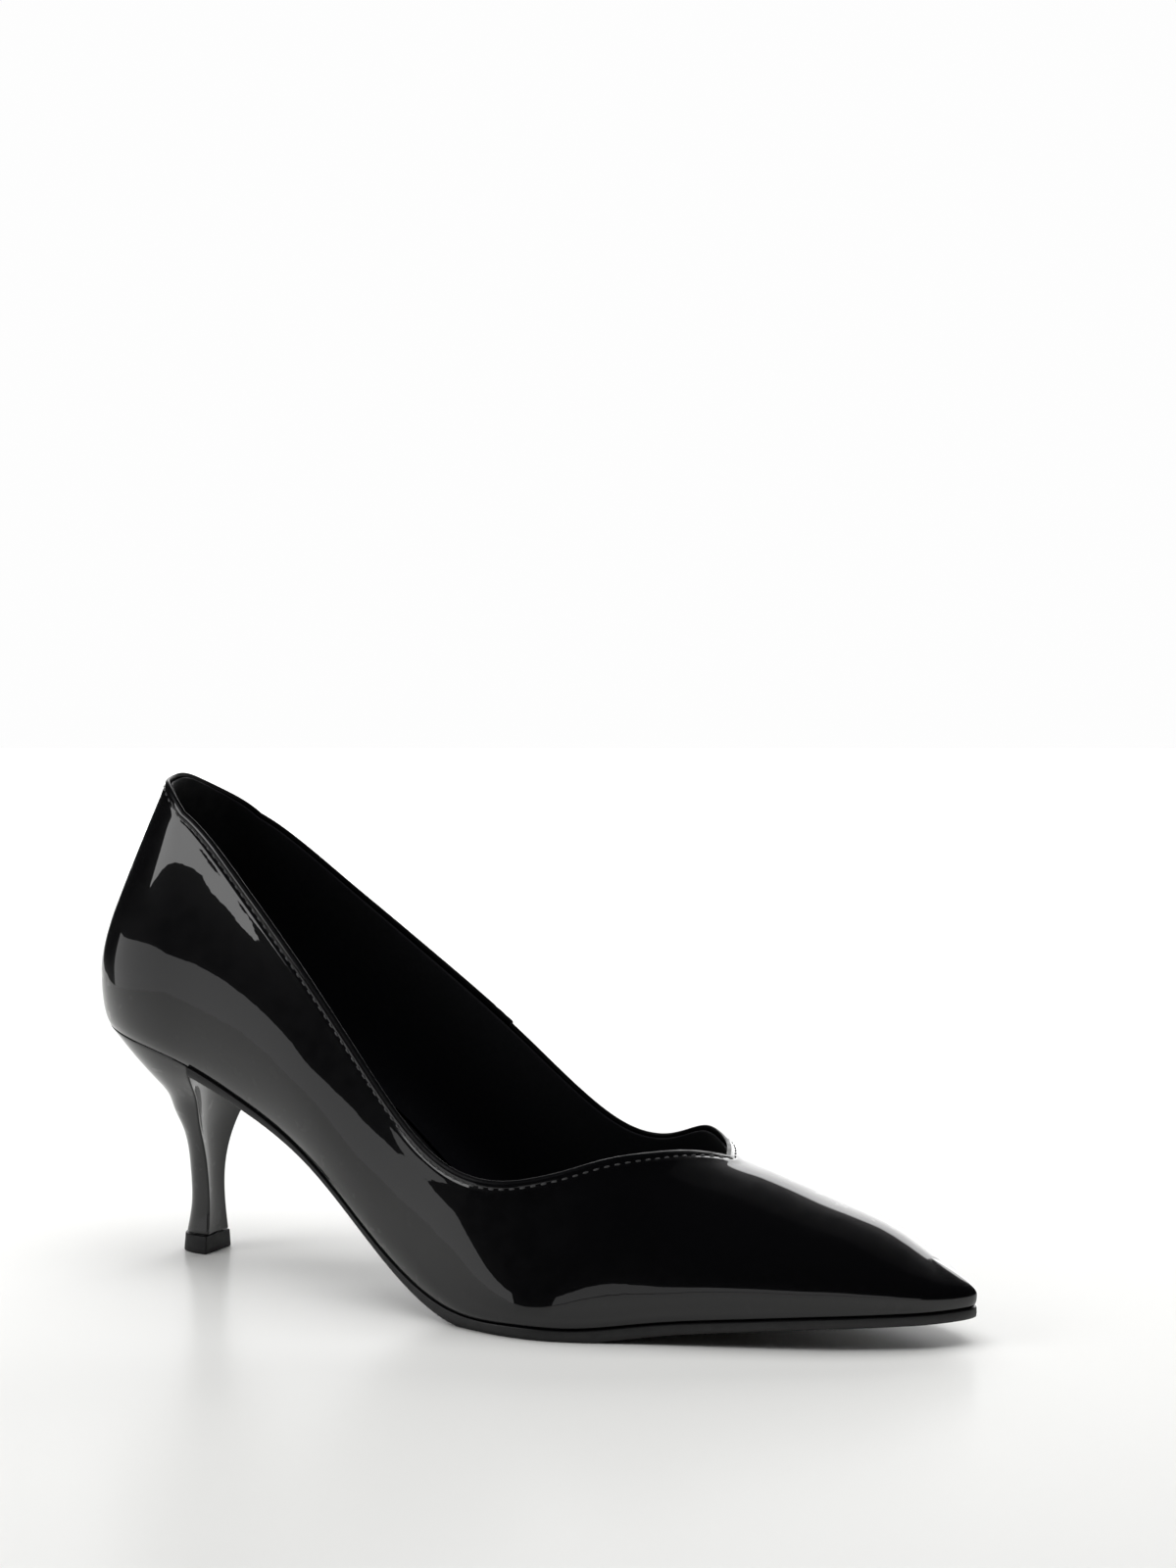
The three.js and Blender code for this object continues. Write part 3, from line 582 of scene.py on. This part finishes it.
def heel_outline(back, breast, half, scoop, corner=0.7, inset=0.0):
    """Closed outline in plan, from the middle of the breast round the inner side and the back."""
    away = (BREAST - seat[OUTER][:, 0]) / (BREAST - SEAT_BACK)
    sides = {}
    for side in (OUTER, INNER):
        sides[side] = np.stack([mix(breast, back, away), seat[side][:, 1] * half / SEAT_HALF], -1)
    v = np.linspace(0, 1, 60)
    front = np.stack([breast - scoop * 4 * v * (1 - v), mix(sides[OUTER][0, 1], sides[INNER][0, 1], v)], -1)
    _, width = walk(front, np.array([0.0]))
    r = min(corner, width * 0.25)
    face, _ = walk(front, np.linspace(r, width - r, 21))
    parts = [face]
    for side in (INNER, OUTER):
        _, length = walk(sides[side], np.array([0.0]))
        d = r + (length - r) * np.linspace(0, 1, 45) ** 1.05
        line, _ = walk(sides[side], d)
        a = face[-1] if side == INNER else face[0]
        t = np.linspace(0, 1, 8)[1:-1, None]
        arc = (1 - t) ** 2 * a + 2 * t * (1 - t) * sides[side][0] + t * t * line[0]
        whole = np.concatenate([arc, line])
        parts.append(whole[:-1] if side == INNER else whole[::-1])
    loop = np.concatenate(parts)
    if inset:
        run = np.roll(loop, -1, 0) - np.roll(loop, 1, 0)
        n = unit(np.stack([run[:, 1], -run[:, 0]], -1))
        loop = loop - n * inset
    return loop


base_height = TOP_PIECE_HEIGHT + FIT_GAP
heel_heights = np.concatenate([
    [float(lower_edge(BREAST)) - FIT_GAP], mix(base_height, SEAT_HEIGHT, HEEL[:, 0])])[::-1]
heel_table = np.concatenate([
    [[1, SEAT_BACK, BREAST, SEAT_HALF, 0]],
    HEEL[:, 1:] * [1, LENGTH, LENGTH, BALL_WIDTH, BALL_WIDTH]])[::-1]
heel_curves = [spline(heel_heights, heel_table[:, k]) for k in range(5)]


def heel_ring(height, inset):
    """The heel's outline at a height, tilted like the seat near its top."""
    slope, back, breast, half, scoop = (float(c(height)) for c in heel_curves)
    loop = heel_outline(back, breast, half, max(0, scoop), inset=inset)
    z = height + max(0, slope) * (lower_edge(loop[:, 0]) - lower_edge(breast))
    return np.column_stack([loop, z])


def build_heel(material):
    """The covered heel from the seat to the top piece, its ends rounded over."""
    top = heel_heights[-1]
    levels = [(top, 0.5), (top - 0.06, 0.22), (top - 0.2, 0.06), (top - 0.45, 0.0)]
    levels += [(h, 0.0) for h in np.linspace(top - 1.1, base_height + 0.5, 74)]
    levels += [(base_height + 0.2, 0.04), (base_height + 0.04, 0.18), (base_height, 0.4)]
    rings = [heel_ring(height, inset) for height, inset in levels]
    tube(rings, "heel_cover", material, "heel", replaces=("heel",))


def tube(rings, name, material, slot, **kw):
    """A closed piece from outlines one above the other, its flat ends capped."""
    rings = np.array(rings)
    sheets = Sheets()
    sheets.grid(np.concatenate([rings, rings[:, :1]], 1))
    ob = sheets.make(name, material, slot, **kw)
    bm = bmesh.new()
    bm.from_mesh(ob.data)
    open_edges = [e for e in bm.edges if e.is_boundary]
    bmesh.ops.holes_fill(bm, edges=open_edges, sides=0)
    bmesh.ops.recalc_face_normals(bm, faces=bm.faces)
    for f in bm.faces:
        if len(f.verts) > 4:
            f.smooth = False
    bm.to_mesh(ob.data)
    bm.free()


def build_top_piece(material):
    """The rubber tip under the heel."""
    back, breast, half = (spline([0, TOP_PIECE_HEIGHT], TOP_PIECE[::-1, k] * s)
                          for k, s in ((1, LENGTH), (2, LENGTH), (3, BALL_WIDTH)))
    top = TOP_PIECE_HEIGHT
    rings = []
    for z, inset in ((top, 0.8), (top, 0.22), (top - 0.07, 0.06), (top - 0.22, 0), (3.4, 0), (2.2, 0), (1.1, 0),
                     (0.3, 0), (0.1, 0.08), (0, 0.3)):
        loop = heel_outline(float(back(z)), float(breast(z)), float(half(z)), 0.0, 0.35, inset)
        rings.append(np.column_stack([loop, np.full(len(loop), z)]))
    tube(rings, "heel_tip", material, "top_piece", replaces=("top_piece",))


STITCH_LONG, STITCH_WIDE, STITCH_TALL, STITCH_SINK = 1.7, 0.5, 0.44, 0.02


def stitches(sheets, line, normals):
    """Lays short threads along a line, each end dipping into the leather."""
    run = np.concatenate([[0], np.cumsum(np.linalg.norm(np.diff(line, axis=0), axis=1))])
    count = int((run[-1] - STITCH_PITCH * 0.4) / STITCH_PITCH)
    ts = np.linspace(-1, 1, 9)
    for k in range(count):
        s = (k + 0.5) * STITCH_PITCH + ts * STITCH_LONG / 2
        c = np.stack([np.interp(s, run, line[:, i]) for i in range(3)], -1)
        n = unit(np.stack([np.interp(s, run, normals[:, i]) for i in range(3)], -1))
        along = unit(np.gradient(c, axis=0))
        across = unit(np.cross(n, along))
        swell = np.sqrt(np.clip(1 - np.abs(ts) ** 3.0, 0, 1))[:, None, None] * 0.5 + 0.02
        dip = (-0.22 * np.abs(ts) ** 2.2 - STITCH_SINK)[:, None, None]
        a = np.linspace(0, 2 * math.pi, 9)[None, :, None]
        p = (c[:, None] + across[:, None] * np.cos(a) * STITCH_WIDE * swell
             + n[:, None] * (np.sin(a) * STITCH_TALL * swell + dip + 0.1))
        sheets.grid(p, flip=True)


def build_stitches(material):
    """The stitch row along the collar and round the notch, and the two of the seam."""
    sheets = Sheets()
    for side in (OUTER, INNER):
        st, sh = beside_topline(side, STITCH_BELOW)
        p, n = skin(st, side, sh), normal(st, side, sh)
        p = p + n * leather_relief(STITCH_BELOW)
        stitches(sheets, p[::-1], n[::-1])
    for behind in SEAM_ROWS:
        stitches(sheets, *seam_row(behind))
    sheets.make("stitches", material, "upper", weld=0.0005)


def seam_row(behind):
    """A line up the quarter, a given distance behind the seam's edge, and its normals."""
    up = np.linspace(0.07, 0.955, 200)
    base = SEAM - behind
    station = base + (1 - behind / SEAM_REACH) * SEAM_LEAN * (up - 0.5)
    share = mix(-1, fold_share(station, INNER), up)
    p, n = skin(station, INNER, share), normal(station, INNER, share)
    lift = lap_of(np.full_like(up, base), INNER) + seam_stitch_groove(np.full_like(up, base))
    return p + n * lift[:, None], n


def material(name, color, roughness, coat=0.0, coat_roughness=0.03, specular=0.5, sheen=0.0):
    m = bpy.data.materials.new(name)
    m.use_nodes = True
    b = m.node_tree.nodes["Principled BSDF"]
    b.inputs["Base Color"].default_value = (*color, 1)
    b.inputs["Roughness"].default_value = roughness
    b.inputs["Coat Weight"].default_value = coat
    b.inputs["Coat Roughness"].default_value = coat_roughness
    b.inputs["Specular IOR Level"].default_value = specular
    b.inputs["Sheen Weight"].default_value = sheen
    return m


def noise_bump(m, scales, sockets=("Normal",)):
    """Bump from layers of (size in metres, depth in metres, detail)."""
    nodes, links = m.node_tree.nodes, m.node_tree.links
    b = nodes["Principled BSDF"]
    coords = nodes.new("ShaderNodeTexCoord")
    normal_out = None
    for size, depth, detail in scales:
        tex = nodes.new("ShaderNodeTexNoise")
        tex.inputs["Scale"].default_value = 1 / size
        tex.inputs["Detail"].default_value = detail
        tex.inputs["Roughness"].default_value = 0.5
        links.new(coords.outputs["Object"], tex.inputs["Vector"])
        bump = nodes.new("ShaderNodeBump")
        bump.inputs["Strength"].default_value = 1.0
        bump.inputs["Distance"].default_value = depth
        links.new(tex.outputs["Fac"], bump.inputs["Height"])
        if normal_out:
            links.new(normal_out, bump.inputs["Normal"])
        normal_out = bump.outputs["Normal"]
    for s in sockets:
        links.new(normal_out, b.inputs[s])


def vary_roughness(m, size, low, high):
    """Roughness between two values, in patches of a size in metres."""
    nodes, links = m.node_tree.nodes, m.node_tree.links
    coords = nodes.new("ShaderNodeTexCoord")
    tex = nodes.new("ShaderNodeTexNoise")
    tex.inputs["Scale"].default_value = 1 / size
    tex.inputs["Detail"].default_value = 3.0
    links.new(coords.outputs["Object"], tex.inputs["Vector"])
    ramp = nodes.new("ShaderNodeMapRange")
    ramp.inputs["From Min"].default_value, ramp.inputs["From Max"].default_value = 0.3, 0.7
    ramp.inputs["To Min"].default_value, ramp.inputs["To Max"].default_value = low, high
    links.new(tex.outputs["Fac"], ramp.inputs["Value"])
    links.new(ramp.outputs["Result"], nodes["Principled BSDF"].inputs["Roughness"])


patent = material("patent_leather", (0.002, 0.002, 0.0025), 0.3, coat=1.0, coat_roughness=0.015, specular=0.06)
noise_bump(patent, [(0.022, 0.00025, 1.0), (0.0045, 0.000012, 2.0)], ("Normal", "Coat Normal"))
vary_roughness(patent, 0.004, 0.25, 0.4)
heel_patent = material("heel_patent", (0.002, 0.002, 0.0025), 0.3, coat=1.0, coat_roughness=0.06, specular=0.06)
noise_bump(heel_patent, [(0.012, 0.00006, 1.0), (0.002, 0.000006, 2.0)], ("Normal", "Coat Normal"))
vary_roughness(heel_patent, 0.004, 0.25, 0.4)
fold = material("folded_edge", (0.002, 0.002, 0.0025), 0.35, specular=0.16)
noise_bump(fold, [(0.003, 0.00008, 2.0)])
vary_roughness(fold, 0.003, 0.3, 0.45)
lining = material("lining_leather", (0.005, 0.005, 0.0065), 0.75, specular=0.25, sheen=0.03)
noise_bump(lining, [(0.0012, 0.00006, 3.0), (0.009, 0.0001, 1.0)])
vary_roughness(lining, 0.003, 0.65, 0.85)
sock = material("insole_leather", (0.0045, 0.0045, 0.006), 0.7, specular=0.3, sheen=0.03)
noise_bump(sock, [(0.0009, 0.00005, 4.0), (0.014, 0.00015, 1.0)])
vary_roughness(sock, 0.004, 0.6, 0.8)
sole = material("sole_leather", (0.006, 0.006, 0.0065), 0.4, specular=0.45)
noise_bump(sole, [(0.0008, 0.00002, 3.0)])
vary_roughness(sole, 0.003, 0.34, 0.5)
tip = material("tip_rubber", (0.008, 0.008, 0.009), 0.55, specular=0.35)
noise_bump(tip, [(0.0006, 0.00002, 3.0)])
vary_roughness(tip, 0.002, 0.45, 0.62)
thread = material("thread", (0.05, 0.05, 0.052), 0.35, specular=0.6)
noise_bump(thread, [(0.00035, 0.00005, 2.0)])

build_upper(patent, fold)
build_lining(lining)
build_insole(sock)
build_outsole(sole)
build_heel(heel_patent)
build_top_piece(tip)
build_stitches(thread)


VIEW_YAW, VIEW_PITCH = math.radians(28.676), math.radians(-7.672)
CAMERA_PLACE, CAMERA_LENS = (0.57803, -1.01748, 0.28858), 108.31
TOWARD = Vector((-math.sin(VIEW_YAW), math.cos(VIEW_YAW), 0))   # from the camera to the shoe
ACROSS = Vector((math.cos(VIEW_YAW), math.sin(VIEW_YAW), 0))    # to the right in the picture


def studio(right, forward, up):
    """A place in the studio: to the right, away from the camera, and up, in metres from the shoe."""
    return ACROSS * right + TOWARD * forward + Vector((0, 0, up))


def softbox(name, place, aim, size, radiance, mirrored=True):
    """A rectangular area light, its brightness given as the radiance of its face; not seen by the camera."""
    data = bpy.data.lights.new(name, "AREA")
    data.shape = "RECTANGLE"
    data.size, data.size_y = size
    data.energy = 4 * size[0] * size[1] * radiance
    ob = bpy.data.objects.new(name, data)
    ob.location = place
    ob.rotation_euler = (Vector(aim) - Vector(place)).to_track_quat("-Z", "Y").to_euler()
    ob.visible_camera = False
    ob.visible_glossy = mirrored
    bpy.context.scene.collection.objects.link(ob)


floor_mesh = bpy.data.meshes.new("floor")
BACKDROP = 1.1  # the floor ends at the backdrop, this far behind the shoe
corners = ((-0.4, -0.85), (0.9, -0.85), (0.9, BACKDROP), (-0.4, BACKDROP))
floor_mesh.from_pydata([tuple(studio(r, f, 0)) for r, f in corners], [], [(0, 1, 2, 3)])
floor = bpy.data.objects.new("floor", floor_mesh)
bpy.context.scene.collection.objects.link(floor)
floor_look = material("floor_paint", (0.8, 0.8, 0.785), 0.25, specular=0.01)
floor_mesh.materials.append(floor_look)

WORLD_LIGHT, WORLD_SEEN = 0.012, 0.985  # what falls on the shoe from around, and the white behind it
world = bpy.data.worlds.new("studio")
bpy.context.scene.world = world
world.use_nodes = True
nodes, links = world.node_tree.nodes, world.node_tree.links
background = nodes["Background"]
background.inputs["Color"].default_value = (1, 1, 1, 1)
background.inputs["Strength"].default_value = WORLD_LIGHT
seen = nodes.new("ShaderNodeBackground")
seen.inputs["Color"].default_value = (1, 1, 1, 1)
seen.inputs["Strength"].default_value = WORLD_SEEN
path = nodes.new("ShaderNodeLightPath")
blend = nodes.new("ShaderNodeMixShader")
links.new(path.outputs["Is Camera Ray"], blend.inputs["Fac"])
links.new(background.outputs["Background"], blend.inputs[1])
links.new(seen.outputs["Background"], blend.inputs[2])
links.new(blend.outputs["Shader"], nodes["World Output"].inputs["Surface"])

# What the patent mirrors: a bright backdrop, a window to the left, low walls, and a faint ceiling.
softbox("backdrop", studio(0.22, BACKDROP, 0.5), studio(0.22, 0, 0.5), (1.4, 1.0), 2.6)
softbox("left_window", studio(-1.0, -0.24, 0.65), studio(-0.62, 0.466, 0.53), (0.8, 0.54), 2.8)
softbox("left_wall", studio(-1.75, -0.3, -0.14), studio(0, -0.3, -0.14), (2.2, 0.64), 0.8)
softbox("front_wall", studio(0.1, -1.5, 0.085), studio(0.1, 0, 0.085), (1.6, 0.17), 0.55)
softbox("ceiling", studio(0.9, 1.1, 1.9), studio(0.1, 0, 0), (1.6, 1.6), 0.02)
softbox("fill", studio(0, 0.1, 1.8), studio(0, 0, 0), (2.0, 2.0), 2.1, mirrored=False)

camera_data = bpy.data.cameras.new("camera")
camera_data.sensor_fit = "VERTICAL"
camera_data.sensor_height = 36
camera_data.sensor_width = 27
camera_data.lens = CAMERA_LENS
camera = bpy.data.objects.new("camera", camera_data)
camera.location = CAMERA_PLACE
camera.rotation_euler = (math.pi / 2 + VIEW_PITCH, 0, VIEW_YAW)
bpy.context.scene.collection.objects.link(camera)
bpy.context.scene.camera = camera
bpy.context.scene.view_settings.view_transform = "Standard"
